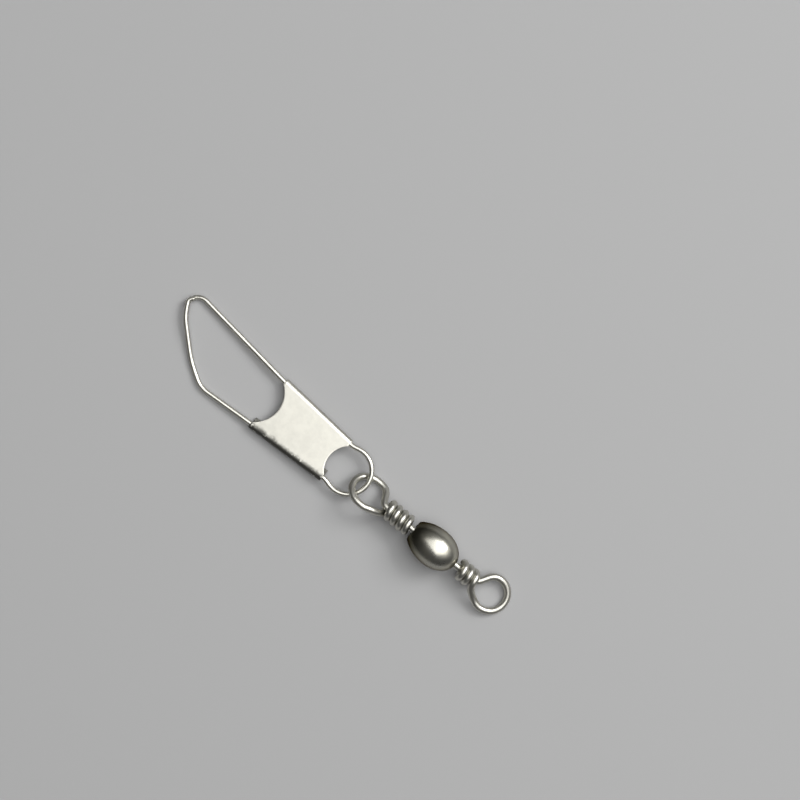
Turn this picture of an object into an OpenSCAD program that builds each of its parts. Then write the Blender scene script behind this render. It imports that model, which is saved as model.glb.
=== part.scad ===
// Fishing snap swivel: a barrel swivel with two wound wire eyes and an interlocking snap.
// It lies as it comes to rest on a flat surface. X runs along the swivel towards the line eye, Z is up.

/* [Barrel] */
// Greatest diameter of the barrel
barrel_d = 4.68; // [4.3:0.02:6]
// Length of the smooth rounded half, measured to where its ellipse would close
barrel_round = 3.14; // [2.8:0.02:4]
// Length of the blunt half, measured to its flat crimped end
barrel_blunt = 3.2; // [2.9:0.02:4]
// How far the ellipse of the blunt half would run if the end were not flattened
barrel_blunt_ellipse = 3.77; // [3.6:0.01:5]
// Sheet thickness of the barrel
barrel_wall = 0.35; // [0.25:0.01:0.5]
// Width of the crimped rim round the blunt end
rim_w = 0.16; // [0.08:0.01:0.3]
// Depth of the blunt end's face inside the rim
rim_depth = 0.12; // [0.05:0.01:0.25]

/* [Swivel eyes] */
// Diameter of the wire of both eyes
eye_wire_d = 0.84; // [0.7:0.01:0.95]
// Radius of each ring, to the middle of its wire
ring_r = 2.08; // [1.8:0.02:2.6]
// Number of wraps round the shank of the line eye
line_turns = 2.4; // [1.4:0.2:3.4]
// Number of wraps round the shank of the snap eye
snap_turns = 3.85; // [1.85:0.2:4.45]
// Length of the neck between the wraps and the line ring
line_neck = 0.7; // [0.6:0.05:1.6]
// Length of the neck between the wraps and the snap ring
snap_neck = 0.45; // [0.4:0.05:1.2]
// How much longer than round the snap ring is
snap_stretch = 0.3; // [0:0.05:0.8]
// Room along the shank between each barrel end and the first wrap
coil_room = 0.42; // [0.35:0.01:0.8]
// Radius of the head that holds each eye in the barrel
head_r = 0.76; // [0.68:0.01:0.9]
// Thickness of that head
head_t = 0.6; // [0.4:0.02:0.9]
// How far the snap ring is rolled about its shank from lying flat
ring_roll = 38; // [34:0.5:44]

/* [Snap wire] */
// Diameter of the spring wire
snap_wire_d = 0.6; // [0.5:0.01:0.65]
// Radius of the heel loop, to the middle of its wire
heel_r = 2.8; // [2.6:0.02:3]
// Distance from the middle of the heel loop to where the legs straighten
loop_len = 1.45; // [1.3:0.05:1.6]
// How far inside the heel's widest place each leg straightens
leg_inset = 0.28; // [0.2:0.01:0.4]
// Angle by which both legs spread under the plate
leg_taper = 3.4; // [2.6:0.1:4]
// Angle by which the fixed leg spreads beyond the plate
fixed_tilt = 5.9; // [4.9:0.1:6.9]
// Angle by which the gate leg spreads from the plate to its elbow
gate_tilt = 4.4; // [3.6:0.1:5]
// Distance from the middle of the heel loop to the elbow of the gate
elbow_x = 19.7; // [17:0.1:21]
// Bend radius of the elbow
elbow_r = 2; // [1:0.1:3]
// How far the gate bows out between its elbow and the nose
gate_bow = 0.7; // [0.5:0.02:1]
// Distance from the middle of the heel loop to the nose
nose_x = 27.4; // [26:0.05:31]
// Bend radius of the fixed leg's hook
hook_r = 1.5; // [1.2:0.05:1.6]
// Length of the hook's end beside the nose
hook_len = 2; // [1.9:0.05:2.2]
// Bend radius of the gate's end
gate_end_r = 0.58; // [0.5:0.02:0.62]
// Length of the gate's end after its last bend
gate_end_len = 0.7; // [0.68:0.02:0.9]

/* [Lock plate] */
// Length of the folded plate along the snap
plate_len = 10.5; // [8:0.1:13]
// Distance from the middle of the heel loop to the plate
plate_x = 1.8; // [1.75:0.05:2.4]
// Thickness of the plate's sheet
sheet_t = 0.2; // [0.15:0.01:0.3]
// Width of the lip folded under the fixed leg, from the middle of the wire
fixed_lip_w = 0.3; // [0.2:0.02:1]
// Width of the lip folded under the gate leg, from the middle of the wire
gate_lip_w = 0.95; // [0.6:0.02:1.2]
// Depth of the round notch towards the nose
nose_notch = 1.5; // [1:0.05:2]
// Radius of the notch towards the nose
nose_notch_r = 3.5; // [3:0.05:3.7]
// Depth of the round notch towards the heel
heel_notch = 0.95; // [0.6:0.05:1.2]
// Radius of the notch towards the heel
heel_notch_r = 3; // [2.6:0.05:3.3]

/* [Clearances] */
// Clearance between two neighbouring wraps, and between the wraps and the shank
wrap_gap = 0.03; // [0.02:0.005:0.06]
// Clearance of each shank in its bore, beyond what its droop takes
bore_fit = 0.03; // [0.02:0.005:0.06]
// Clearance between each head and the end wall inside the barrel
head_gap = 0.03; // [0.02:0.005:0.06]
// Clearance between the snap wire and the plate folded round it
fold_fit = 0.03; // [0.02:0.005:0.06]
// Clearance between the gate's end and the hook under it
latch_gap = 0.03; // [0.02:0.005:0.08]
// Height of the heel wire above where it would touch the ring's lower strand
link_lift = 0.18; // [0.16:0.01:0.24]
// Height of every resting point above the floor
floor_gap = 0.01; // [0.005:0.005:0.03]

/* [Hidden] */
$fn = 64;

eye_r = eye_wire_d / 2;
snap_r = snap_wire_d / 2;
barrel_r = barrel_d / 2;
wire_sides = 18;
snap_wire_sides = 14;
arc_step = 9;
profile_steps = 14;

// Finish colours of the preview
gunmetal = [0.25, 0.25, 0.27];
nickel = [0.78, 0.79, 0.8];

// Small helpers for vectors and lists
function unit(v) = v / norm(v);
// A little more than a cut or a join needs, so that it goes all the way through
over = 1;
join = 0.01;
function column(points, axis) = [for (p = points) p[axis]];

// Barrel: the radius of its outside, and of its inside, at a distance from its middle
function half_ellipse(x, a, r) = r * sqrt(max(0, 1 - pow(x / a, 2)));
inner_r = barrel_r - barrel_wall;
inner_round = barrel_round - barrel_wall;
inner_blunt = barrel_blunt_ellipse - barrel_wall;
end_wall = 0.45;

// The bore needs the shank's radius at its droop, what the droop takes over the wall, and a fit
function bore_for(droop) = eye_r / cos(droop) + end_wall / 2 * tan(droop) + bore_fit;

// Droop of an eye whose ring, rolled by roll, comes to rest on the floor
function ring_drop(droop, roll) =
    ring_r * sqrt(pow(sin(droop), 2) + pow(sin(roll) * cos(droop), 2));
first_droop = 5;
droop_turns = 14;
function rest_droop(reach, roll, droop = first_droop, turns = droop_turns) =
    turns == 0 ? droop
    : rest_droop(reach, roll,
        asin((barrel_r - eye_r - ring_drop(droop, roll)) / reach), turns - 1);

pitch = eye_wire_d + wrap_gap;
wrap_r = eye_wire_d + wrap_gap;
pivot_to_coil = end_wall / 2 + coil_room + eye_r;
function coil_end(turns) = pivot_to_coil + turns * pitch;
function ring_x(turns, neck, stretch) = coil_end(turns) + neck + ring_r + stretch;
line_droop = rest_droop(ring_x(line_turns, line_neck, 0), 0);
snap_ring_x = ring_x(snap_turns, snap_neck, snap_stretch);
snap_droop = rest_droop(snap_ring_x, ring_roll);
line_bore_r = bore_for(line_droop);
snap_bore_r = bore_for(snap_droop);

// Ends of the barrel: the outer ellipse meets the line bore, and the blunt face lies inside its rim
round_end_x = barrel_round * sqrt(1 - pow(line_bore_r / barrel_r, 2));
blunt_face_x = barrel_blunt - rim_depth;
rim_r = half_ellipse(barrel_blunt, barrel_blunt_ellipse, barrel_r);
line_pivot_x = round_end_x - end_wall / 2;
snap_pivot_x = blunt_face_x - end_wall / 2;
inner_line_x = round_end_x - end_wall;
inner_snap_x = blunt_face_x - end_wall;

// Tangents and normals along a path of points, for a tube swept along it
function tangents(path) =
    let (last = len(path) - 1)
    [for (i = [0 : last]) unit(path[min(i + 1, last)] - path[max(i - 1, 0)])];
function flat_to(v, t) = unit(v - (v * t) * t);
first_side = [0.1, 0.2, 1];
function normals(t) =
    [for (i = 0, n = flat_to(first_side, t[0]);
        i < len(t);
        n = i + 1 < len(t) ? flat_to(n, t[i + 1]) : n, i = i + 1) n];

module tube(path, r, sides) {
    t = tangents(path);
    n = normals(t);
    last = len(path) - 1;
    points = [for (i = [0 : last], k = [0 : sides - 1])
        path[i] + r * (cos(360 * k / sides) * n[i] + sin(360 * k / sides) * cross(t[i], n[i]))];
    walls = [for (i = [0 : last - 1], k = [0 : sides - 1], half = [0, 1])
        let (a = i * sides + k, b = i * sides + (k + 1) % sides)
        half == 0 ? [a, a + sides, b + sides] : [a, b + sides, b]];
    start = [for (k = [1 : sides - 2]) [0, k, k + 1]];
    end = [for (k = [1 : sides - 2]) [last * sides, last * sides + k + 1, last * sides + k]];
    polyhedron(points, concat(walls, start, end));
}

// Points of a smooth curve between two points that leaves and arrives in given directions
function curve(a, a_out, b, b_in, steps) =
    [for (i = [1 : steps])
        let (s = i / steps, w = 1 - s)
        w * w * w * a + 3 * w * w * s * a_out + 3 * w * s * s * b_in + s * s * s * b];

// Points of a bend of radius r at the corner b of the polyline a, b, c
function bend(a, b, c, r) =
    let (u = unit(a - b), v = unit(c - b), inside = acos(u * v), turn = 180 - inside,
        centre = b + unit(u + v) * r / sin(inside / 2),
        p = b + u * r / tan(inside / 2) - centre,
        q = b + v * r / tan(inside / 2) - centre,
        steps = max(2, ceil(turn / arc_step)))
    [for (i = [0 : steps])
        centre + (p * sin(turn * (1 - i / steps)) + q * sin(turn * i / steps)) / sin(turn)];

// One eye in its own frame: shank along X from its head, ring in the XY plane, wraps back round the shank
ring_open = 68;
wrap_start = 110;
helix_step = 20;
cover = 0.2;
cylinder_over = 0.003;
lead_out = 1.22;
wrap_out = 1.1;
wrap_lead = 0.8;
lead_steps = 8;
wrap_lead_steps = 10;
function ring_point(x, a) = [x + ring_r * cos(a), ring_r * sin(a), 0];
function wrap_point(x, a) = [x, wrap_r * cos(a), wrap_r * sin(a)];
function eye_path(turns, neck, stretch) =
    let (x_coil = coil_end(turns), x_ring = ring_x(turns, neck, 0),
        shank_top = [x_coil, 0, 0],
        ring_in = ring_point(x_ring, 180 - ring_open),
        ring_out = ring_point(x_ring, ring_open - 180),
        wrap_in = wrap_point(x_coil, wrap_start),
        wrap_dir = unit([pitch / (2 * PI), -wrap_r * sin(wrap_start), wrap_r * cos(wrap_start)]),
        ring_steps = ceil((360 - 2 * ring_open) / arc_step),
        wrap_steps = ceil(360 * turns / helix_step))
    concat(
        [[pivot_to_coil - eye_r - cover, 0, 0], shank_top],
        curve(shank_top, shank_top + [lead_out, 0, 0], ring_in,
            ring_in - lead_out * [sin(ring_open), cos(ring_open), 0], lead_steps),
        [for (i = [1 : ring_steps])
            let (a = 180 - ring_open - (360 - 2 * ring_open) * i / ring_steps)
            ring_point(x_ring + (abs(a) < 90 ? stretch : 0), a)],
        curve(ring_out, ring_out + wrap_out * [-sin(ring_open), cos(ring_open), 0], wrap_in,
            wrap_in + wrap_lead * wrap_dir, wrap_lead_steps),
        [for (i = [1 : wrap_steps])
            wrap_point(x_coil - turns * pitch * i / wrap_steps,
                wrap_start - 360 * turns * i / wrap_steps)]);

function head_x(droop) = (end_wall / 2 + head_gap + head_r * sin(droop)) / cos(droop);
head_edge = 0.2;
head_steps = 6;

module head() {
    rotate([0, -90, 0])
        rotate_extrude()
            polygon(concat([[0, 0], [head_r, 0], [head_r, head_edge]],
                [for (i = [1 : head_steps])
                    let (a = 90 * i / head_steps)
                    [head_r * cos(a), head_edge + (head_t - head_edge) * sin(a)]]));
}

module eye(turns, neck, stretch, droop) {
    shank_len = head_x(droop) + pivot_to_coil - eye_r;
    translate([-head_x(droop), 0, 0])
        rotate([0, 90, 0])
            cylinder(r = eye_r + cylinder_over, h = shank_len);
    translate([-head_x(droop), 0, 0])
        head();
    tube(eye_path(turns, neck, stretch), eye_r, wire_sides);
}

// Snap wire in its own frame: the middle of the heel loop at the origin, the nose towards minus X
loop_half = heel_r - leg_inset;
tangent_angle = atan2(loop_half, -loop_len) - acos(heel_r / norm([loop_len, loop_half]));
function leg_y(x) = loop_half + (x - loop_len) * tan(leg_taper);
leg_bend_beyond = 0.25;
leg_bend_x = plate_x + plate_len + leg_bend_beyond;
leg_bend_y = leg_y(leg_bend_x);
function fixed_y(x) = leg_bend_y + (x - leg_bend_x) * tan(fixed_tilt);
function gate_y(x) = -leg_bend_y - (x - leg_bend_x) * tan(gate_tilt);
loop_bend_r = 2;
leg_bend_r = 3;
mouth_bend_r = 5;
nose_bend_r = 3;
hook_in = 6;
hook = [-nose_x, fixed_y(nose_x), 0];
hook_end = hook + hook_len * [sin(hook_in), -cos(hook_in), 0];
latch_lift = snap_wire_d + latch_gap;
latch_in = [0.05, -1.17, latch_lift];
latch_turn = 25;
gate_low_at = 0.3;
gate_high_at = 0.8;
elbow = [-elbow_x, gate_y(elbow_x), 0];
latch = hook + latch_in;
gate_dir = unit([latch[0] - elbow[0], latch[1] - elbow[1], 0]);
gate_span = norm([latch[0] - elbow[0], latch[1] - elbow[1]]);
gate_out = gate_bow * [-gate_dir[1], gate_dir[0], 0];
gate_low = elbow + gate_low_at * gate_span * gate_dir + gate_out;
gate_high = elbow + gate_high_at * gate_span * gate_dir + gate_out + [0, 0, latch_lift];
gate_tip = latch + gate_end_len * [cos(latch_turn), sin(latch_turn), 0];
loop_fixed = [-loop_len, loop_half, 0];
loop_gate = [-loop_len, -loop_half, 0];
leg_fixed = [-leg_bend_x, leg_bend_y, 0];
leg_gate = [-leg_bend_x, -leg_bend_y, 0];
function heel_point(a) = [heel_r * cos(a), heel_r * sin(a), 0];
heel_steps = ceil(2 * tangent_angle / arc_step);

snap_path = concat(
    [hook_end],
    bend(hook_end, hook, leg_fixed, hook_r),
    bend(hook, leg_fixed, loop_fixed, leg_bend_r),
    bend(leg_fixed, loop_fixed, heel_point(tangent_angle), loop_bend_r),
    [for (i = [0 : heel_steps]) heel_point(tangent_angle - 2 * tangent_angle * i / heel_steps)],
    bend(heel_point(-tangent_angle), loop_gate, leg_gate, loop_bend_r),
    bend(loop_gate, leg_gate, elbow, leg_bend_r),
    bend(leg_gate, elbow, gate_low, elbow_r),
    bend(elbow, gate_low, gate_high, mouth_bend_r),
    bend(gate_low, gate_high, latch, nose_bend_r),
    bend(gate_high, latch, gate_tip, gate_end_r),
    [gate_tip]);

// Folded plate: a flat web over both legs, and each long edge folded round its leg into a lip
fold_in = snap_r + fold_fit;
fold_out = fold_in + sheet_t;
web_overlap = 0.5;
plate_end = plate_x + plate_len;
plate_room = leg_y(plate_end) + 2 * fold_out;

module fold_section(lip_w) {
    difference() {
        circle(r = fold_out);
        circle(r = fold_in);
        translate([0, -fold_out - over])
            square([fold_out + over, 2 * (fold_out + over)]);
    }
    translate([-join, fold_in])
        square([web_overlap, sheet_t]);
    translate([-join, -fold_out])
        square([lip_w + join, sheet_t]);
}

module plate_side(lip_w) {
    translate([-loop_len, loop_half, 0])
        rotate([0, 0, -leg_taper])
            rotate([90, 0, -90])
                linear_extrude(plate_end + 2 * over)
                    fold_section(lip_w);
}

// Resting attitude of the snap: nose and plate corner on the floor, heel over the ring's lower strand
function floor_rest(x, y, below) = [x, y, below + floor_gap];
rest_nose = floor_rest(-nose_x, fixed_y(nose_x) - hook_r, snap_r);
rest_plate = floor_rest(-plate_end, -leg_y(plate_end), fold_out);
rest_elbow = floor_rest(elbow[0], elbow[1], snap_r);
rest_gate = floor_rest(gate_low[0], gate_low[1], snap_r);

// Snap ring at rest: its middle and two directions in its plane, one along the shank and one across
ring_along = [-cos(snap_droop), 0, -sin(snap_droop)];
ring_up = [-sin(snap_droop), 0, cos(snap_droop)];
ring_across = cos(ring_roll) * [0, -1, 0] + sin(ring_roll) * ring_up;
ring_mid = [-snap_pivot_x, 0, barrel_r + floor_gap] + snap_ring_x * ring_along;
link_reach = eye_r + snap_r;

// Middle of the heel loop: its wire lies link_slack short of the ring's middle, and a little to one side
link_slack = 0.648;
heel_across = 0.36;
heel_centre = [ring_mid[0] - link_slack - heel_r, heel_across];

// Height at which the heel wire would touch the ring's lower strand, over samples of both
touch_half = 80;
touch_step = 4;
touch_heights = [for (a = [-touch_half : touch_step : touch_half], b = [180 : touch_step : 360])
    let (heel = [heel_centre[0] + heel_r * cos(a), heel_centre[1] + heel_r * sin(a)],
        strand = ring_mid + ring_r * (cos(b) * ring_along + sin(b) * ring_across),
        apart = norm([heel[0] - strand[0], heel[1] - strand[1]]))
    if (apart < link_reach) strand[2] + sqrt(link_reach * link_reach - apart * apart)];
rest_heel = [heel_r, 0, max(touch_heights) + link_lift];

// Normal of the plane through the nose, the heel and a third resting point. The snap leans over
// until the plate, the elbow or the gate above it reaches the floor, whichever does so first.
function rest_normal(third) =
    let (n = unit(cross(third - rest_nose, rest_heel - rest_nose)))
    n[2] > 0 ? n : -n;
function lean_of(n) = atan2(-n[1], n[2]);
rest_normals = [for (third = [rest_plate, rest_elbow, rest_gate]) rest_normal(third)];
least_lean = min([for (n = rest_normals) lean_of(n)]);
rest_up = [for (n = rest_normals) if (lean_of(n) == least_lean) n][0];
snap_pitch = atan2(-rest_up[0], norm([rest_up[1], rest_up[2]]));
snap_lean = least_lean;
heel_z = (rest_nose * rest_up) / rest_up[2];

function lay(p) =
    let (y = p[1] * cos(snap_lean) - p[2] * sin(snap_lean),
        z = p[1] * sin(snap_lean) + p[2] * cos(snap_lean))
    [heel_centre[0] + p[0] * cos(snap_pitch) - z * sin(snap_pitch),
     heel_centre[1] + y,
     heel_z + p[0] * sin(snap_pitch) + z * cos(snap_pitch)];
laid = [for (p = snap_path) lay(p)];

// Middle of the whole object, so that the origin sits under it on the floor
line_reach = ring_x(line_turns, line_neck, 0) + ring_r;
x_low = min(column(laid, 0)) - snap_r;
x_high = line_pivot_x + line_reach * cos(line_droop) + eye_r;
y_low = min(column(laid, 1)) - snap_r;
y_high = max(column(laid, 1)) + snap_r;
to_origin = [-(x_low + x_high) / 2, -(y_low + y_high) / 2, 0];
axis_z = barrel_r + floor_gap;

module place_snap() {
    translate(to_origin + [heel_centre[0], heel_centre[1], heel_z])
        rotate([0, -snap_pitch, 0])
            rotate([snap_lean, 0, 0])
                children();
}

module barrel() {
    outer = concat(
        [for (i = [0 : profile_steps])
            let (x = round_end_x * cos(90 * i / profile_steps))
            [half_ellipse(x, barrel_round, barrel_r), x]],
        [for (i = [1 : profile_steps])
            let (x = -barrel_blunt * sin(90 * i / profile_steps))
            [half_ellipse(x, barrel_blunt_ellipse, barrel_r), x]],
        [[rim_r - rim_w, -barrel_blunt], [rim_r - rim_w, -blunt_face_x],
         [snap_bore_r, -blunt_face_x], [snap_bore_r, -inner_snap_x]]);
    inner = concat(
        [for (i = [0 : profile_steps])
            let (x = -inner_snap_x * cos(90 * i / profile_steps))
            [half_ellipse(x, inner_blunt, inner_r), x]],
        [for (i = [1 : profile_steps])
            let (x = inner_line_x * sin(90 * i / profile_steps))
            [half_ellipse(x, inner_round, inner_r), x]],
        [[line_bore_r, inner_line_x]]);
    color(gunmetal)
        translate(to_origin + [0, 0, axis_z])
            rotate([0, 90, 0])
                rotate_extrude()
                    polygon(concat(outer, inner));
}

module line_eye() {
    color(gunmetal)
        translate(to_origin + [line_pivot_x, 0, axis_z])
            rotate([0, line_droop, 0])
                eye(line_turns, line_neck, 0, line_droop);
}

module snap_eye() {
    color(gunmetal)
        translate(to_origin + [-snap_pivot_x, 0, axis_z])
            rotate([0, 0, 180])
                rotate([0, snap_droop, 0])
                    rotate([180 + ring_roll, 0, 0])
                        eye(snap_turns, snap_neck, snap_stretch, snap_droop);
}

module snap_wire() {
    color(nickel)
        place_snap()
            tube(snap_path, snap_r, snap_wire_sides);
}

module lock_plate() {
    color(nickel)
        place_snap()
            difference() {
                intersection() {
                    union() {
                        plate_side(fixed_lip_w);
                        mirror([0, 1, 0])
                            plate_side(gate_lip_w);
                        translate([0, 0, fold_in])
                            linear_extrude(sheet_t)
                                polygon([for (x = [plate_x - over, plate_end + over], side = [1, -1])
                                    let (across = x < plate_end ? side : -side)
                                    [-x, across * (leg_y(x) - web_overlap / 2)]]);
                    }
                    translate([-plate_end, -plate_room, -plate_room])
                        cube([plate_len, 2 * plate_room, 2 * plate_room]);
                }
                translate([-plate_end + nose_notch - nose_notch_r, 0, 0])
                    cylinder(r = nose_notch_r, h = plate_room);
                translate([-plate_x - heel_notch + heel_notch_r, 0, 0])
                    cylinder(r = heel_notch_r, h = plate_room);
            }
}

barrel();
line_eye();
snap_eye();
snap_wire();
lock_plate();
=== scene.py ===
# %% [markdown]
# A fishing snap swivel, 52 mm long: a small barrel that lets the line turn, a wound wire eye at
# each end of it, and a snap of spring wire whose two legs are held by a folded plate. This lesson
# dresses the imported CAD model. Wires are swept by Geometry Nodes along paths that follow simple
# rules, the barrel is turned from a profile, and the plate is a thin sheet that is bent,
# thickened and bevelled.

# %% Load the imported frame
import math
import bmesh
import bpy
from mathutils import Matrix, Vector


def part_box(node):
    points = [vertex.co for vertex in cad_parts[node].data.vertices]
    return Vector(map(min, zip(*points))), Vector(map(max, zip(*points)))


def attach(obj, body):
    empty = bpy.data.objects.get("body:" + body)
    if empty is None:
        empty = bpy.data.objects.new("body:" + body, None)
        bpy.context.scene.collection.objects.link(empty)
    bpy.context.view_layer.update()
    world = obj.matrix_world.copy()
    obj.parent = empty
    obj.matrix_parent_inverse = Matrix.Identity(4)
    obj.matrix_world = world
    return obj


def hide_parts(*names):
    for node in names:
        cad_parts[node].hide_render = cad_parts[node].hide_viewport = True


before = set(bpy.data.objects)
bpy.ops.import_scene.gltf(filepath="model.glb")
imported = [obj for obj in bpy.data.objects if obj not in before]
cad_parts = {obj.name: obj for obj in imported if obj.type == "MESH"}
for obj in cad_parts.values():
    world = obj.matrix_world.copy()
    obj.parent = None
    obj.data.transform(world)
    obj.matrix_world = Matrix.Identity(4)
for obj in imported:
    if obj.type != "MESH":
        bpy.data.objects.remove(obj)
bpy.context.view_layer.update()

for node in sorted(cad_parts):
    low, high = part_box(node)
    print(node, "box in mm:", [round(1000 * v, 2) for v in (*low, *high)])

# %% [markdown]
# All sizes below are in millimetres and are the ones that the CAD model was built with, so that
# each dressed piece lies where its solid is. Blender works in metres, so meshes are scaled once,
# at the moment when they are made.

# %% Sizes of the swivel
MM = 0.001
barrel_r = 2.34
barrel_round = 3.14
barrel_blunt = 3.2
barrel_blunt_ellipse = 3.77
barrel_wall = 0.35
rim_w = 0.16
rim_depth = 0.12
end_wall = 0.45
line_bore_r = 0.5181
snap_bore_r = 0.4713

eye_r = 0.42
ring_r = 2.08
wrap_gap = 0.03
coil_room = 0.42
pitch = 2 * eye_r + wrap_gap
head_r = 0.76
head_t = 0.6
head_edge = 0.2
head_gap = 0.03
line_turns, line_neck = 2.4, 0.7
snap_turns, snap_neck, snap_stretch = 3.85, 0.45, 0.3

origin = Vector((14.9895, -0.7846, 0))
axis_z = 2.35
line_pivot_x = 2.8371
snap_pivot_x = 2.855
line_droop = 13.8636
snap_droop = 5.0006
ring_roll = 38
print("the barrel is", 2 * barrel_r, "mm thick and the eye wire", 2 * eye_r, "mm")

# %% [markdown]
# The snap has its own frame, with the middle of its heel loop at the origin and its nose at -X.
# It is modelled flat there and then leaned a little, because its heel is held up by the ring that
# it hangs in. Four matrices bring each piece from its own frame to its place.

# %% Sizes of the snap
snap_r = 0.3
heel_r = 2.8
loop_len = 1.45
loop_half = 2.52
leg_taper = 3.4
fixed_tilt = 5.9
gate_tilt = 4.4
elbow_x = 19.7
nose_x = 27.4
plate_x = 1.8
plate_len = 10.5
sheet_t = 0.2
fold_fit = 0.03
fixed_lip_w = 0.3
gate_lip_w = 0.95
heel_centre = Vector((-13.52, 0.36, 1.30885))
snap_pitch = 2.3427
snap_lean = 2.1906
print("snap legs lie", round(2 * loop_half, 2), "mm apart at the heel")


def turned(axis, degrees):
    return Matrix.Rotation(math.radians(degrees), 4, axis)


place_line_eye = (Matrix.Translation(origin + Vector((line_pivot_x, 0, axis_z)))
                  @ turned("Y", line_droop))
place_snap_eye = (Matrix.Translation(origin + Vector((-snap_pivot_x, 0, axis_z)))
                  @ turned("Z", 180) @ turned("Y", snap_droop) @ turned("X", 180 + ring_roll))
place_snap = (Matrix.Translation(origin + heel_centre)
              @ turned("Y", -snap_pitch) @ turned("X", snap_lean))
place_barrel = Matrix.Translation(origin + Vector((0, 0, axis_z)))

# %% [markdown]
# A surface finish on metal is mostly a matter of colour, roughness and a very small bump. The
# maths of each finish is easier to read as arithmetic than as a list of nodes, so a small class
# wraps a socket: adding or multiplying two of them adds a Math node. Every other node comes from
# one method.

# %% Arithmetic on shader sockets
class Value:
    """One output of a finish, which can be added, taken away and multiplied."""

    def __init__(self, finish, socket):
        self.finish = finish
        self.socket = socket

    def maths(self, operation, *values):
        return self.finish.node("ShaderNodeMath", {"operation": operation},
                                dict(enumerate(values)))

    def __add__(self, other):
        return self.maths("ADD", self, other)

    def __sub__(self, other):
        return self.maths("SUBTRACT", self, other)

    def __mul__(self, other):
        return self.maths("MULTIPLY", self, other)

    def __rsub__(self, other):
        return self.maths("SUBTRACT", other, self)

    __radd__ = __add__
    __rmul__ = __mul__

    def step(self, low, high):
        """0 below low, 1 above high and smooth between."""
        return self.finish.node("ShaderNodeMapRange", {"interpolation_type": "SMOOTHSTEP"},
                                {"Value": self, "From Min": low, "From Max": high})


class Finish:
    """A metal finish: a Principled surface, with helpers that add nodes to it."""

    def __init__(self, name):
        self.material = bpy.data.materials.new(name)
        self.material.use_nodes = True
        self.tree = self.material.node_tree
        self.surface = self.tree.nodes["Principled BSDF"]
        self.surface.inputs["Metallic"].default_value = 1

    def put(self, socket, value):
        if isinstance(value, Value):
            self.tree.links.new(value.socket, socket)
        else:
            socket.default_value = value

    def node(self, kind, settings=None, values=None, output=0):
        made = self.tree.nodes.new(kind)
        for name, value in (settings or {}).items():
            setattr(made, name, value)
        for socket, value in (values or {}).items():
            self.put(made.inputs[socket], value)
        return Value(self, made.outputs[output])

    def place(self):
        return self.node("ShaderNodeTexCoord", output="Object")

    def attribute(self, name, output="Fac"):
        return self.node("ShaderNodeAttribute", {"attribute_name": name}, output=output)

    def stretched(self, place, scale):
        return self.node("ShaderNodeMapping", values={"Vector": place, "Scale": scale})

    def noise(self, place, scale, detail=2.0, roughness=0.5):
        return self.node("ShaderNodeTexNoise",
                         values={"Vector": place, "Scale": scale, "Detail": detail,
                                 "Roughness": roughness})

    def mixed(self, share, first, second):
        return self.node("ShaderNodeMix", {"data_type": "RGBA"},
                         {0: share, 6: first, 7: second}, output=2)

    def bump(self, height, distance, strength=1.0):
        return self.node("ShaderNodeBump",
                         values={"Height": height, "Distance": distance, "Strength": strength},
                         output="Normal")

    def set(self, **inputs):
        for name, value in inputs.items():
            self.put(self.surface.inputs[name.replace("_", " ")], value)


def nickel(level, warmth=1.0):
    """The faintly warm grey of nickel plate, in linear light."""
    return (level * (1 + 0.022 * warmth), level, level * (1 - 0.1 * warmth), 1)


def grey(level):
    return (level, level, level, 1)


print("nickel at half brightness:", [round(v, 3) for v in nickel(0.5)[:3]])

# %% [markdown]
# The barrel is plated a dark nickel and polished. Clouds about two millimetres across keep the
# polish from looking like glass. Towards the end that was crimped over, the colour is painted
# nearly black and a little brown along the barrel's axis. This is painted shade for the dark
# surroundings that this end reflects, with the clouds to break the line where it does.

# %% Finish of the barrel
BARREL_CLOUDS, BARREL_RIPPLE = 450, 2600
DARK_FROM, DARK_TO, DARK_WANDER = 0.6, 4.4, 1.2
barrel_finish = Finish("polished gunmetal plate")
place = barrel_finish.place()
clouds = barrel_finish.noise(place, BARREL_CLOUDS, 3)
ripple = barrel_finish.noise(place, BARREL_RIPPLE, 4, 0.6)
along_axis = barrel_finish.node("ShaderNodeSeparateXYZ", values={0: place})
crimp_x = (origin[0] - barrel_blunt) * MM
# painted shade: this mask darkens the base colour towards the crimped end
painted_end_shade = 1 - (along_axis + DARK_WANDER * MM * clouds).step(crimp_x + DARK_FROM * MM,
                                                            crimp_x + DARK_TO * MM)
body_colour = barrel_finish.mixed(clouds.step(0.35, 0.7), nickel(0.46), nickel(0.52, 1.6))
barrel_finish.set(Base_Color=barrel_finish.mixed(painted_end_shade, body_colour, nickel(0.07, 3)),
                  Roughness=0.24 + 0.06 * clouds.step(0.3, 0.75) + 0.06 * ripple,
                  Normal=barrel_finish.bump(ripple, 0.0022 * MM),
                  Specular_Tint=(0.3, 0.27, 0.24, 1))
print("barrel finish has", len(barrel_finish.tree.nodes), "nodes")

# %% [markdown]
# Wire is drawn through a die, which leaves faint lines along it. The sweep stores where each
# point lies round and along the wire, so noise that is stretched along the wire makes those
# lines. The swivel's wire has a darker plating than the spring wire of the snap, but both are
# made alike.

# %% Finishes of the wires
ROUND_THE_WIRE, ALONG_THE_WIRE = 3, 0.35
WIRE_LINES, WIRE_CLOUDS, WIRE_PITS = 2.2, 700, 5200


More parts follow.
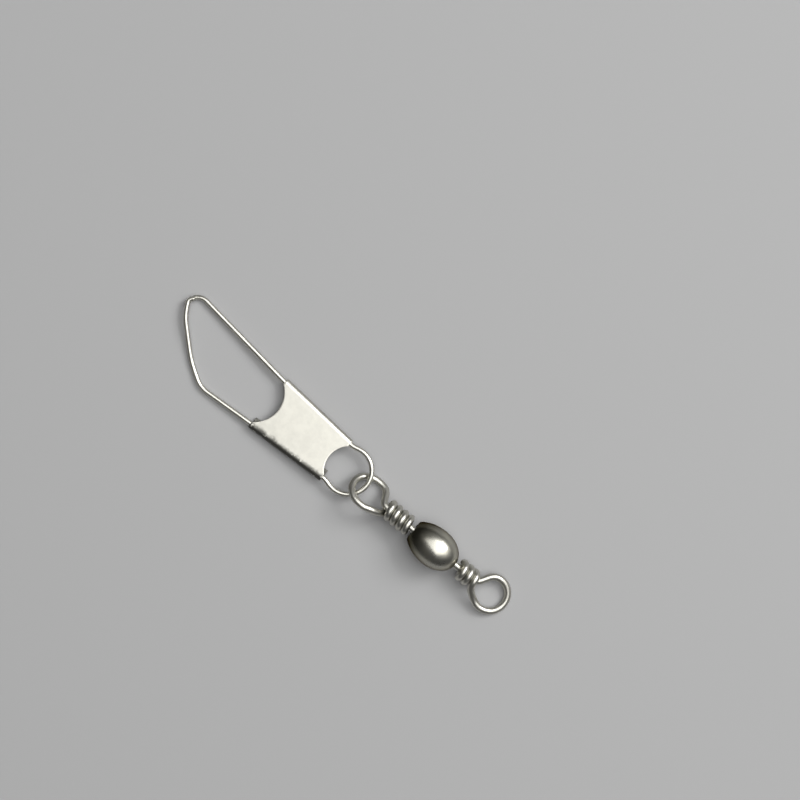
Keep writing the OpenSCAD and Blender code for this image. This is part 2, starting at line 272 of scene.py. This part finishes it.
def wire_finish(name, dark, light, rough, marks):
    finish = Finish(name)
    along = finish.stretched(finish.attribute("wire_place", "Vector"),
                             (ROUND_THE_WIRE, ROUND_THE_WIRE, ALONG_THE_WIRE))
    drawn = finish.noise(along, WIRE_LINES, 3, 0.6)
    place = finish.place()
    clouds = finish.noise(place, WIRE_CLOUDS, 3)
    pits = finish.noise(place, WIRE_PITS, 2)
    tone = clouds.step(0.3, 0.7) * 0.6 + drawn.step(0.3, 0.7) * 0.4
    finish.set(Base_Color=finish.mixed(tone, dark, light),
               Roughness=rough + 0.10 * drawn + 0.08 * pits.step(0.45, 0.75),
               Normal=finish.bump(drawn * 0.7 + pits * 0.3, marks))
    return finish


eye_finish = wire_finish("dark nickel wire", nickel(0.46), nickel(0.58), 0.27, 0.0035 * MM)
spring_finish = wire_finish("bright spring wire", nickel(0.54), nickel(0.66), 0.26, 0.003 * MM)
print("a wire finish has", len(eye_finish.tree.nodes), "nodes")

# %% [markdown]
# The plate is pressed from thin bright strip. Rolling and pressing leave it satin and a little
# mottled. The edge that is folded round the gate leg faces away from the light and is painted
# dark, partly as painted shade and partly as tarnish, and small specks in it are left unpainted.
# The sheet stores how far each point lies round the fold, and that distance, shifted here and there
# by the mottling, is the mask for that painted dark edge.

# %% Finish of the plate
PLATE_MOTTLE, PLATE_GRAIN, PLATE_SPECKS = 900, 4200, 2100
SHADE_TARNISH_FULL, SHADE_TARNISH_NONE, SHADE_TARNISH_WANDER = -0.95, -0.4, 0.9
plate_finish = Finish("satin pressed plate")
place = plate_finish.place()
mottle = plate_finish.noise(place, PLATE_MOTTLE, 4, 0.6)
grain = plate_finish.noise(place, PLATE_GRAIN, 3, 0.6)
specks = plate_finish.noise(place, PLATE_SPECKS, 2, 0.7)
fold = plate_finish.attribute("fold")
# painted shade and tarnish: the fold round the gate leg is darkened in the colour, specks left out
free_of_shade_and_tarnish = (fold + SHADE_TARNISH_WANDER * (mottle - 0.5)).step(SHADE_TARNISH_FULL, SHADE_TARNISH_NONE)
shade_and_tarnish = (1 - free_of_shade_and_tarnish) * (1 - specks.step(0.62, 0.70))
sheet_colour = plate_finish.mixed(mottle.step(0.3, 0.7), nickel(0.54), nickel(0.61))
plate_finish.set(Base_Color=plate_finish.mixed(shade_and_tarnish, sheet_colour, nickel(0.12)),
                 Roughness=0.30 + 0.10 * mottle + 0.06 * grain + 0.1 * shade_and_tarnish,
                 Normal=plate_finish.bump(grain * 0.4 + mottle * 0.6, 0.005 * MM))
print("plate finish has", len(plate_finish.tree.nodes), "nodes")

# %% [markdown]
# Rounded corners and blends are all that a bent wire is made of. A bend replaces the corner
# between two straight runs by an arc, and a blend is a Bezier curve that leaves and arrives in a
# set direction. An arc has a point at each few degrees, so that a ring looks round.

# %% Bends and blends
ARC_STEP = 3
FEWEST_STEPS = 3


def ray(degrees):
    """A direction in the XY plane."""
    return Vector((math.cos(math.radians(degrees)), math.sin(math.radians(degrees)), 0))


def blend_points(start, start_out, end, end_in, steps):
    points = []
    for i in range(1, steps + 1):
        s = i / steps
        w = 1 - s
        points.append(w * w * w * start + 3 * w * w * s * start_out
                      + 3 * w * s * s * end_in + s * s * s * end)
    return points


def bend_points(before, corner, after, radius):
    u = (before - corner).normalized()
    v = (after - corner).normalized()
    inside = u.angle(v)
    turn = math.pi - inside
    centre = corner + (u + v).normalized() * radius / math.sin(inside / 2)
    p = corner + u * radius / math.tan(inside / 2) - centre
    q = corner + v * radius / math.tan(inside / 2) - centre
    steps = max(FEWEST_STEPS, math.ceil(math.degrees(turn) / ARC_STEP))
    return [centre + (p * math.sin(turn * (1 - i / steps)) + q * math.sin(turn * i / steps))
            / math.sin(turn) for i in range(steps + 1)]


square_bend = bend_points(Vector((-2, 0, 0)), Vector((0, 0, 0)), Vector((0, 2, 0)), 1)
print("a square bend has", len(square_bend), "points")

# %% [markdown]
# Each eye is one wire: it has a headed end inside the barrel, runs out as a shank, turns into a
# ring and comes back to be wound round its own shank. A coil could be made with the Screw
# modifier, but then the ring and the coil would have to be joined. Here a list of points holds
# the whole path, and the radius is kept with each point, so the head, the wire and the small
# chamfer of the cut end all come from one sweep. The strand between coil and ring turns a little
# sooner than in the CAD model.

# %% Path of a wound eye
RING_OPEN = 68
WRAP_START = 110
LEAD_OUT = 1.0
WRAP_OUT = 1.1
WRAP_LEAD = 0.8
HELIX_STEP = 6
HEAD_STEPS = 7
HEAD_TOP = 87
UNDER_HEAD = 0.002
LEAD_STEPS = 24
WRAP_LEAD_STEPS = 30
CHAMFER = 0.07
CHAMFER_MIDDLE = 0.3


def chamfered(rail, radius):
    """Narrows the last few hundredths of a wire, as a cutter and a tumbler leave it."""
    tip, back = rail[-1][0], rail[-2][0]
    inward = (back - tip).normalized()
    middle = CHAMFER * CHAMFER_MIDDLE
    return rail[:-1] + [(tip + inward * CHAMFER, radius),
                        (tip + inward * middle, radius - middle),
                        (tip, radius - CHAMFER)]


def eye_rail(turns, neck, stretch, droop):
    """Points and radii of one eye in its own frame, its pivot at the origin and its ring at +X."""
    slope = math.radians(droop)
    head_x = (end_wall / 2 + head_gap + head_r * math.sin(slope)) / math.cos(slope)
    rail = []
    for i in range(HEAD_STEPS, -1, -1):
        a = math.radians(HEAD_TOP * i / HEAD_STEPS)
        rail.append((Vector((-head_x - head_edge - (head_t - head_edge) * math.sin(a), 0, 0)),
                     head_r * math.cos(a)))
    rail.append((Vector((-head_x - UNDER_HEAD, 0, 0)), head_r))
    rail.append((Vector((-head_x, 0, 0)), eye_r))

    coil_x = end_wall / 2 + coil_room + eye_r + turns * pitch
    ring_x = coil_x + neck + ring_r
    shank_top = Vector((coil_x, 0, 0))
    ring_in = Vector((ring_x, 0, 0)) + ring_r * ray(180 - RING_OPEN)
    ring_out = Vector((ring_x, 0, 0)) + ring_r * ray(RING_OPEN - 180)

    def wrap(x, degrees):
        a = math.radians(degrees)
        return Vector((x, pitch * math.cos(a), pitch * math.sin(a)))

    wrap_in = wrap(coil_x, WRAP_START)
    across = math.radians(WRAP_START)
    wrap_way = Vector((1 / (2 * math.pi), -math.sin(across), math.cos(across))).normalized()
    points = [shank_top]
    points += blend_points(shank_top, shank_top + Vector((LEAD_OUT, 0, 0)), ring_in,
                           ring_in - LEAD_OUT * ray(90 - RING_OPEN), LEAD_STEPS)
    ring_steps = math.ceil((360 - 2 * RING_OPEN) / ARC_STEP)
    for i in range(1, ring_steps + 1):
        a = 180 - RING_OPEN - (360 - 2 * RING_OPEN) * i / ring_steps
        points.append(Vector((ring_x + (stretch if abs(a) < 90 else 0), 0, 0)) + ring_r * ray(a))
    points += blend_points(ring_out, ring_out + WRAP_OUT * ray(90 + RING_OPEN), wrap_in,
                           wrap_in + WRAP_LEAD * wrap_way, WRAP_LEAD_STEPS)
    wrap_steps = math.ceil(360 * turns / HELIX_STEP)
    for i in range(1, wrap_steps + 1):
        s = i / wrap_steps
        points.append(wrap(coil_x - turns * pitch * s, WRAP_START - 360 * turns * s))
    rail += [(p, eye_r) for p in points]
    return chamfered(rail, eye_r)


def length_of(rail):
    return sum((b[0] - a[0]).length for a, b in zip(rail, rail[1:]))


line_rail = eye_rail(line_turns, line_neck, 0, line_droop)
snap_eye_rail = eye_rail(snap_turns, snap_neck, snap_stretch, snap_droop)
print("the line eye takes", round(length_of(line_rail), 1), "mm of wire and the snap eye",
      round(length_of(snap_eye_rail), 1), "mm")

# %% [markdown]
# The snap is a single springy wire. The heel loop is nearly a full circle, the legs spread under
# the plate, the fixed leg ends in a hook at the nose, and the gate leg bows out from its elbow
# and ends lying over that hook. It is a row of corners, each with its own radius. The gate's
# bends are rounder here than in the CAD model, by up to a tenth of a millimetre, because a
# hand-bent bow has no tight corners.

# %% Path of the snap wire
BEND_PAST_PLATE = 0.25
HOOK_R = 1.5
HOOK_LEN = 2
HOOK_IN = 6
LEG_BEND_R = 3
HEEL_BEND_R = 2
ELBOW_R = 3.2
GATE_LOW_R, GATE_LOW_AT = 10, 0.3
GATE_HIGH_R, GATE_HIGH_AT = 6, 0.8
GATE_BOW = 0.7
GATE_END_R = 0.58
GATE_END_LEN = 0.7
LATCH_TURN = 25
LATCH_LIFT = 0.63
LATCH_FROM_HOOK = Vector((0.05, -1.17, LATCH_LIFT))


def leg_y(x):
    return loop_half + (x - loop_len) * math.tan(math.radians(leg_taper))


def snap_rail():
    """Points and radii of the snap wire in its own frame, the heel loop's middle at the origin."""
    tangent = math.degrees(math.atan2(loop_half, -loop_len)
                           - math.acos(heel_r / math.hypot(loop_len, loop_half)))
    bend_x = plate_x + plate_len + BEND_PAST_PLATE
    bend_y = leg_y(bend_x)
    hook = Vector((-nose_x, bend_y + (nose_x - bend_x) * math.tan(math.radians(fixed_tilt)), 0))
    hook_end = hook + HOOK_LEN * Vector((math.sin(math.radians(HOOK_IN)),
                                         -math.cos(math.radians(HOOK_IN)), 0))
    elbow = Vector((-elbow_x, -bend_y - (elbow_x - bend_x) * math.tan(math.radians(gate_tilt)), 0))
    latch = hook + LATCH_FROM_HOOK
    flat = Vector((latch[0] - elbow[0], latch[1] - elbow[1], 0))
    way = flat.normalized()
    out = GATE_BOW * Vector((-way[1], way[0], 0))
    gate_low = elbow + GATE_LOW_AT * flat + out
    gate_high = elbow + GATE_HIGH_AT * flat + out + Vector((0, 0, LATCH_LIFT))
    gate_tip = latch + GATE_END_LEN * ray(LATCH_TURN)
    loop_fixed = Vector((-loop_len, loop_half, 0))
    loop_gate = Vector((-loop_len, -loop_half, 0))
    leg_fixed = Vector((-bend_x, bend_y, 0))
    leg_gate = Vector((-bend_x, -bend_y, 0))
    heel_steps = math.ceil(2 * tangent / ARC_STEP)
    heel = [heel_r * ray(tangent - 2 * tangent * i / heel_steps) for i in range(heel_steps + 1)]
    points = [hook_end]
    points += bend_points(hook_end, hook, leg_fixed, HOOK_R)
    points += bend_points(hook, leg_fixed, loop_fixed, LEG_BEND_R)
    points += bend_points(leg_fixed, loop_fixed, heel[0], HEEL_BEND_R)
    points += heel
    points += bend_points(heel[-1], loop_gate, leg_gate, HEEL_BEND_R)
    points += bend_points(loop_gate, leg_gate, elbow, LEG_BEND_R)
    points += bend_points(leg_gate, elbow, gate_low, ELBOW_R)
    points += bend_points(elbow, gate_low, gate_high, GATE_LOW_R)
    points += bend_points(gate_low, gate_high, latch, GATE_HIGH_R)
    points += bend_points(gate_high, latch, gate_tip, GATE_END_R)
    points.append(gate_tip)
    one_end = chamfered([(p, snap_r) for p in points], snap_r)
    return chamfered(one_end[::-1], snap_r)[::-1]


spring_rail = snap_rail()
print("the snap takes", round(length_of(spring_rail), 1), "mm of spring wire")

# %% [markdown]
# A sweep could be done point by point in Python, but Geometry Nodes has the tool for it: the path
# becomes a curve, and a circle is carried along it. The tree below takes the number of sides, a
# factor for the thickness and the finish as named inputs, and also notes where each point lies.

# %% The tree that sweeps a wire
def sweep_tree():
    tree = bpy.data.node_groups.new("swept wire", "GeometryNodeTree")
    face = tree.interface
    face.new_socket("Path", in_out="INPUT", socket_type="NodeSocketGeometry")
    face.new_socket("Sides", in_out="INPUT", socket_type="NodeSocketInt").default_value = 32
    face.new_socket("Thickness", in_out="INPUT", socket_type="NodeSocketFloat").default_value = 1
    face.new_socket("Finish", in_out="INPUT", socket_type="NodeSocketMaterial")
    face.new_socket("Wire", in_out="OUTPUT", socket_type="NodeSocketGeometry")

    def add(kind, **settings):
        made = tree.nodes.new(kind)
        for name, value in settings.items():
            setattr(made, name, value)
        return made

    def join(source, output, target, name):
        tree.links.new(source.outputs[output], target.inputs[name])

    start = add("NodeGroupInput")
    rail = add("GeometryNodeMeshToCurve")
    thick = add("GeometryNodeInputNamedAttribute", data_type="FLOAT")
    thick.inputs["Name"].default_value = "thickness"
    scaled = add("ShaderNodeMath", operation="MULTIPLY")
    sized = add("GeometryNodeSetCurveRadius")
    measure = add("GeometryNodeSplineParameter")
    noted = add("GeometryNodeStoreNamedAttribute", data_type="FLOAT", domain="POINT")
    noted.inputs["Name"].default_value = "along"
    ring = add("GeometryNodeCurvePrimitiveCircle")
    ring.inputs["Radius"].default_value = 1
    position = add("GeometryNodeInputPosition")
    around = add("GeometryNodeStoreNamedAttribute", data_type="FLOAT_VECTOR", domain="POINT")
    around.inputs["Name"].default_value = "around"
    swept = add("GeometryNodeCurveToMesh")
    swept.inputs["Fill Caps"].default_value = True
    get_along = add("GeometryNodeInputNamedAttribute", data_type="FLOAT")
    get_along.inputs["Name"].default_value = "along"
    get_around = add("GeometryNodeInputNamedAttribute", data_type="FLOAT_VECTOR")
    get_around.inputs["Name"].default_value = "around"
    parts = add("ShaderNodeSeparateXYZ")
    in_mm = add("ShaderNodeMath", operation="MULTIPLY")
    in_mm.inputs[1].default_value = 1 / MM
    whole = add("ShaderNodeCombineXYZ")
    placed = add("GeometryNodeStoreNamedAttribute", data_type="FLOAT_VECTOR", domain="POINT")
    placed.inputs["Name"].default_value = "wire_place"
    real = add("GeometryNodeRealizeInstances")
    finished = add("GeometryNodeSetMaterial")
    end = add("NodeGroupOutput")

    join(start, "Path", rail, "Mesh")
    join(thick, "Attribute", scaled, 0)
    join(start, "Thickness", scaled, 1)
    join(rail, "Curve", sized, "Curve")
    join(scaled, 0, sized, "Radius")
    join(sized, "Curve", noted, "Geometry")
    join(measure, "Length", noted, "Value")
    join(start, "Sides", ring, "Resolution")
    join(ring, "Curve", around, "Geometry")
    join(position, "Position", around, "Value")
    join(noted, "Geometry", swept, "Curve")
    join(around, "Geometry", swept, "Profile Curve")
    join(scaled, 0, swept, "Scale")
    join(get_around, "Attribute", parts, 0)
    join(get_along, "Attribute", in_mm, 0)
    join(parts, "X", whole, "X")
    join(parts, "Y", whole, "Y")
    join(in_mm, 0, whole, "Z")
    join(swept, "Mesh", placed, "Geometry")
    join(whole, 0, placed, "Value")
    join(placed, "Geometry", real, "Geometry")
    join(real, "Geometry", finished, "Geometry")
    join(start, "Finish", finished, "Material")
    join(finished, "Geometry", end, "Wire")
    return tree


wire_tree = sweep_tree()
print("the sweep has", len(wire_tree.nodes), "nodes")


# %% [markdown]
# Each piece is handed on as one plain mesh with no modifiers. Its faces are turned outwards, its
# volume is measured, and only edges that turn by more than a set angle stay sharp, so that wire
# looks round and a cut end looks cut.

# %% From a tree to a plain mesh
def closed_up(mesh, sharp):
    """Points the faces outwards and keeps only real edges sharp.

    Gives the volume in cubic mm and the number of open edges.
    """
    work = bmesh.new()
    work.from_mesh(mesh)
    bmesh.ops.recalc_face_normals(work, faces=work.faces)
    volume = work.calc_volume(signed=True)
    if volume < 0:
        bmesh.ops.reverse_faces(work, faces=work.faces)
    open_edges = sum(1 for e in work.edges if not e.is_manifold)
    for f in work.faces:
        f.smooth = True
    work.to_mesh(mesh)
    work.free()
    mesh.set_sharp_from_angle(angle=math.radians(sharp))
    return abs(volume) / MM ** 3, open_edges


def new_object(name, mesh):
    piece = bpy.data.objects.new(name, mesh)
    bpy.context.scene.collection.objects.link(piece)
    return piece


def baked(piece, sharp=35):
    """Turns the piece and its modifiers into one plain mesh."""
    bpy.context.view_layer.update()
    evaluated = piece.evaluated_get(bpy.context.evaluated_depsgraph_get())
    result = bpy.data.meshes.new_from_object(evaluated)
    piece.modifiers.clear()
    piece.data = result
    volume, open_edges = closed_up(result, sharp)
    result.name = piece.name
    print(piece.name, len(result.polygons), "faces,", round(volume, 2), "mm3, open edges",
          open_edges)
    return piece


def swept_wire(name, rail, place, finish, sides):
    """A wire along a rail of points and radii, as a plain mesh in its place in the frame."""
    mesh = bpy.data.meshes.new(name)
    points = [(place @ p) * MM for p, radius in rail]
    mesh.from_pydata(points, [(i, i + 1) for i in range(len(points) - 1)], [])
    thick = mesh.attributes.new("thickness", "FLOAT", "POINT")
    thick.data.foreach_set("value", [radius * MM for p, radius in rail])
    piece = new_object(name, mesh)
    sweep = piece.modifiers.new("sweep", "NODES")
    sweep.node_group = wire_tree
    names = {item.name: item.identifier for item in wire_tree.interface.items_tree
             if item.item_type == "SOCKET" and item.in_out == "INPUT"}
    sweep[names["Sides"]] = sides
    sweep[names["Thickness"]] = 1.0
    sweep[names["Finish"]] = finish.material
    return baked(piece)


def dress(piece, body, slot, *nodes):
    """The piece rides on its body and stands for its CAD solids."""
    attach(piece, body)
    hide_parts(*nodes)
    for node in nodes:
        low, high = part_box(node)
        corners = [v.co for v in piece.data.vertices]
        off = [max(abs(min(c[i] for c in corners) - low[i]),
                   abs(max(c[i] for c in corners) - high[i])) for i in range(3)]
        print("  its box is within", round(1000 * max(off), 3), "mm of the solid's")


# %% [markdown]
# With the tree and the paths in hand, each wire takes one line. The eyes have a few more sides
# than the thinner spring wire. Each one then rides on its own body, because the swivel turns at
# both eyes and the snap swings in its ring.

# %% The two eyes and the snap wire
EYE_SIDES, SPRING_SIDES = 40, 32
line_eye = swept_wire("line_eye_wire", line_rail, place_line_eye, eye_finish, EYE_SIDES)
dress(line_eye, "line_eye", "eye_wire", "line_eye")
snap_eye = swept_wire("snap_eye_wire", snap_eye_rail, place_snap_eye, eye_finish, EYE_SIDES)
dress(snap_eye, "snap_eye", "eye_wire", "snap_eye")
snap_wire = swept_wire("snap_spring_wire", spring_rail, place_snap, spring_finish, SPRING_SIDES)
dress(snap_wire, "snap", "snap_steel", "snap_wire")

# %% [markdown]
# The barrel is a shell of revolution: one half is a plain ellipse, the other is cut off flat and
# crimped into a thin rim. A profile of distances and radii is turned round the axis, which is
# what a lathe does. The hollow inside is kept, because the mesh is also used on its own.

# %% The barrel, turned from its profile
PROFILE_STEPS = 30
BARREL_SIDES = 96
EASED_EDGE = 0.03


def turned_shell(name, profile, place, segments, finish):
    """A closed ring of profile points (x, radius), turned round the X axis."""
    mesh = bpy.data.meshes.new(name)
    points = []
    for k in range(segments):
        a = 2 * math.pi * k / segments
        points += [(place @ Vector((x, r * math.cos(a), r * math.sin(a)))) * MM for x, r in profile]
    count = len(profile)
    faces = []
    for k in range(segments):
        for i in range(count):
            a, b = k * count + i, k * count + (i + 1) % count
            c, d = (k + 1) % segments * count + (i + 1) % count, (k + 1) % segments * count + i
            faces.append((a, b, c, d))
    mesh.from_pydata(points, [], faces)
    mesh.materials.append(finish.material)
    return new_object(name, mesh)


def half_ellipse(x, length, radius):
    return radius * math.sqrt(max(0, 1 - (x / length) ** 2))


def barrel_profile():
    quarter = [math.pi / 2 * i / PROFILE_STEPS for i in range(PROFILE_STEPS + 1)]
    round_end = barrel_round * math.sqrt(1 - (line_bore_r / barrel_r) ** 2)
    blunt_face = barrel_blunt - rim_depth
    rim_r = half_ellipse(barrel_blunt, barrel_blunt_ellipse, barrel_r)
    inner_r = barrel_r - barrel_wall
    inner_line, inner_snap = round_end - end_wall, blunt_face - end_wall
    outside = [(x, half_ellipse(x, barrel_round, barrel_r))
               for x in (round_end * math.cos(a) for a in quarter)]
    outside += [(-x, half_ellipse(x, barrel_blunt_ellipse, barrel_r))
                for x in (barrel_blunt * math.sin(a) for a in quarter[1:])]
    outside += [(-barrel_blunt, rim_r - rim_w), (-blunt_face, rim_r - rim_w),
                (-blunt_face, snap_bore_r), (-inner_snap, snap_bore_r)]
    inside = [(-x, half_ellipse(x, barrel_blunt_ellipse - barrel_wall, inner_r))
              for x in (inner_snap * math.cos(a) for a in quarter)]
    inside += [(x, half_ellipse(x, barrel_round - barrel_wall, inner_r))
               for x in (inner_line * math.sin(a) for a in quarter[1:])]
    return outside + inside + [(inner_line, line_bore_r)]


def ease_edges(piece, segments, from_angle):
    """Rounds the edges that turn by more than that angle."""
    ease = piece.modifiers.new("eased edges", "BEVEL")
    ease.width = EASED_EDGE * MM
    ease.segments = segments
    ease.limit_method = "ANGLE"
    ease.angle_limit = math.radians(from_angle)


barrel = turned_shell("barrel_shell", barrel_profile(), place_barrel, BARREL_SIDES, barrel_finish)
ease_edges(barrel, 3, 40)
baked(barrel)
dress(barrel, "barrel", "barrel_metal", "barrel")

# %% [markdown]
# The lock plate starts as a flat strip with a round notch in each end. Its long edges are folded
# round the two legs into lips underneath. Here it is a grid: one direction runs across the strip,
# through both folds, and the other runs along the legs between two end curves that follow the
# notches. Solidify then gives it the thickness of the sheet and Bevel eases its cut edges.

# %% The folded plate
NOSE_NOTCH, NOSE_NOTCH_R = 1.5, 3.5
HEEL_NOTCH, HEEL_NOTCH_R = 0.95, 3
WEB_EDGE = 0.9
WEB_STEPS, EDGE_STEPS, FOLD_STEPS, LIP_STEPS = 14, 5, 16, 3
ROWS = 48
SETTLING_TURNS = 12
fold_mid = snap_r + fold_fit + sheet_t / 2
plate_end = plate_x + plate_len


def end_curve(share, at_nose):
    """Where a line that runs along the web at that share of the half width meets the cut end."""
    if at_nose:
        centre, radius, flat = plate_end - NOSE_NOTCH + NOSE_NOTCH_R, NOSE_NOTCH_R, plate_end
    else:
        centre, radius, flat = plate_x + HEEL_NOTCH - HEEL_NOTCH_R, HEEL_NOTCH_R, plate_x
    x = flat
    for _ in range(SETTLING_TURNS):
        y = share * leg_y(x)
        if abs(y) >= radius:
            return flat
        reach = math.sqrt(radius * radius - y * y)
        x = min(flat, centre - reach) if at_nose else max(flat, centre + reach)
    return x


def corner_share(at_nose):
    """Share of the half width at which the notch meets the straight end."""
    if at_nose:
        return math.sqrt(NOSE_NOTCH_R ** 2 - (NOSE_NOTCH_R - NOSE_NOTCH) ** 2) / leg_y(plate_end)
    return math.sqrt(HEEL_NOTCH_R ** 2 - (HEEL_NOTCH_R - HEEL_NOTCH) ** 2) / leg_y(plate_x)


def across_the_strip():
    """Stations across the strip: the share of the half width, then (y, z) beyond the leg, and fold.

    The fold value is 0 in the middle of the web and starts to grow WEB_EDGE before the line where
    the sheet bends. From there it is the distance round the sheet in mm. It is negative along the
    gate leg and positive along the fixed leg.
    """
    heel_corner, nose_corner = corner_share(False), corner_share(True)
    shares = [heel_corner * i / WEB_STEPS for i in range(WEB_STEPS + 1)]
    shares += [(heel_corner + nose_corner) / 2, nose_corner]
    shares += [nose_corner + (1 - nose_corner) * i / EDGE_STEPS for i in range(1, EDGE_STEPS)]

    def side(sign, lip_w):
        half = leg_y((plate_x + plate_end) / 2)
        run = [(sign * s, 0, fold_mid, sign * max(0, WEB_EDGE + (s - 1) * half))
               for s in shares[1:]]
        for i in range(FOLD_STEPS + 1):
            a = math.radians(90 - 180 * i / FOLD_STEPS)
            run.append((sign, sign * fold_mid * math.cos(a), fold_mid * math.sin(a),
                        sign * (WEB_EDGE + fold_mid * math.pi * i / FOLD_STEPS)))
        for i in range(1, LIP_STEPS + 1):
            run.append((sign, -sign * lip_w * i / LIP_STEPS, -fold_mid,
                        sign * (WEB_EDGE + fold_mid * math.pi)))
        return run

    return side(-1, gate_lip_w)[::-1] + [(0, 0, fold_mid, 0)] + side(1, fixed_lip_w)


def folded_plate():
    stations = across_the_strip()
    points, folds, faces = [], [], []
    for share, dy, z, fold in stations:
        if abs(share) == 1:
            x_nose, x_heel = plate_end, plate_x
        else:
            x_nose, x_heel = end_curve(share, True), end_curve(share, False)
        for j in range(ROWS + 1):
            x = x_heel + (x_nose - x_heel) * j / ROWS
            points.append((place_snap @ Vector((-x, share * leg_y(x) + dy, z))) * MM)
            folds.append(fold)
    for i in range(len(stations) - 1):
        for j in range(ROWS):
            a = i * (ROWS + 1) + j
            faces.append((a, a + 1, a + ROWS + 2, a + ROWS + 1))
    mesh = bpy.data.meshes.new("folded_plate")
    mesh.from_pydata(points, [], faces)
    mesh.attributes.new("fold", "FLOAT", "POINT").data.foreach_set("value", folds)
    mesh.materials.append(plate_finish.material)
    piece = new_object("folded_plate", mesh)
    sheet = piece.modifiers.new("sheet", "SOLIDIFY")
    sheet.thickness = sheet_t * MM
    sheet.offset = 0
    sheet.use_even_offset = True
    ease_edges(piece, 2, 50)
    return baked(piece, 40)


plate = folded_plate()
dress(plate, "snap", "plate_steel", "lock_plate")

# %% [markdown]
# The floor is plain and pale, and the object lies on it. Metal shows the room around it, so the
# room matters more than the floor: one soft window overhead, a little to the right in the
# picture, gives polished metal its broad pale patch. A wide dim ceiling softens the patch's
# border, a small lamp on the right draws the shadows to the left, and the room itself is left
# nearly dark.

# %% Floor and light
FLOOR_HALF = 1.5
FLOOR_LEVEL = 0.38
ROOM_LEVEL = 0.08
PICTURE_TURN = 40


def floor_and_room():
    floor_mesh = bpy.data.meshes.new("floor")
    half = FLOOR_HALF
    floor_mesh.from_pydata([(-half, -half, 0), (half, -half, 0), (half, half, 0), (-half, half, 0)],
                           [], [(0, 1, 2, 3)])
    floor = new_object("floor", floor_mesh)
    paint = bpy.data.materials.new("plain pale floor")
    paint.use_nodes = True
    surface = paint.node_tree.nodes["Principled BSDF"]
    surface.inputs["Base Color"].default_value = grey(FLOOR_LEVEL)
    surface.inputs["Roughness"].default_value = 0.9
    surface.inputs["Specular IOR Level"].default_value = 0.1
    floor_mesh.materials.append(paint)
    world = bpy.data.worlds.new("room")
    world.use_nodes = True
    world.node_tree.nodes["Background"].inputs["Color"].default_value = grey(ROOM_LEVEL)
    bpy.context.scene.world = world


def softbox(name, toward, distance, width, radiance):
    """A square soft lamp in that direction from the object, turned to face it."""
    light = bpy.data.lights.new(name, "AREA")
    light.shape = "RECTANGLE"
    light.size = width
    light.size_y = width
    light.energy = radiance * math.pi * width * width
    lamp = bpy.data.objects.new(name, light)
    way = Vector(toward).normalized()
    lamp.location = way * distance
    lamp.rotation_euler = way.to_track_quat("Z", "Y").to_euler()
    lamp.visible_camera = False
    bpy.context.scene.collection.objects.link(lamp)


def in_picture(right, up, towards_camera):
    """A direction given as the picture shows it, in the frame's own axes."""
    return right * ray(PICTURE_TURN) + up * ray(PICTURE_TURN + 90) + Vector((0, 0, towards_camera))


floor_and_room()
softbox("window", in_picture(0.3, 0.11, 1), distance=0.6, width=0.66, radiance=2.5)
softbox("ceiling", in_picture(0.4, 0.2, 1), distance=0.9, width=2.2, radiance=0.16)
softbox("side lamp", in_picture(1.0, 0.5, 1), distance=0.8, width=0.34, radiance=9)
print("lamps:", [light.name for light in bpy.data.lights])

# %% [markdown]
# The camera looks straight down, as the photograph does. The object's long axis runs down to the
# right at 40 degrees, so the camera is turned by that angle. Its height follows from the lens and
# from how many millimetres of the object one pixel of the photograph shows.

# %% Camera
MM_PER_PIXEL = 0.1173
PIXELS = 800
focus = Vector((0.8245, 9.818, 1.2))
LENS, SENSOR = 85, 36
camera_data = bpy.data.cameras.new("camera")
camera_data.lens = LENS
camera_data.sensor_width = SENSOR
camera_data.clip_start = MM
camera = bpy.data.objects.new("camera", camera_data)
distance = MM_PER_PIXEL * PIXELS * LENS / SENSOR
camera.location = (focus + Vector((0, 0, distance))) * MM
camera.rotation_euler = (0, 0, math.radians(PICTURE_TURN))
bpy.context.scene.collection.objects.link(camera)
bpy.context.scene.camera = camera
bpy.context.scene.view_settings.view_transform = "Standard"
print("the camera stands", round(distance), "mm above the object")
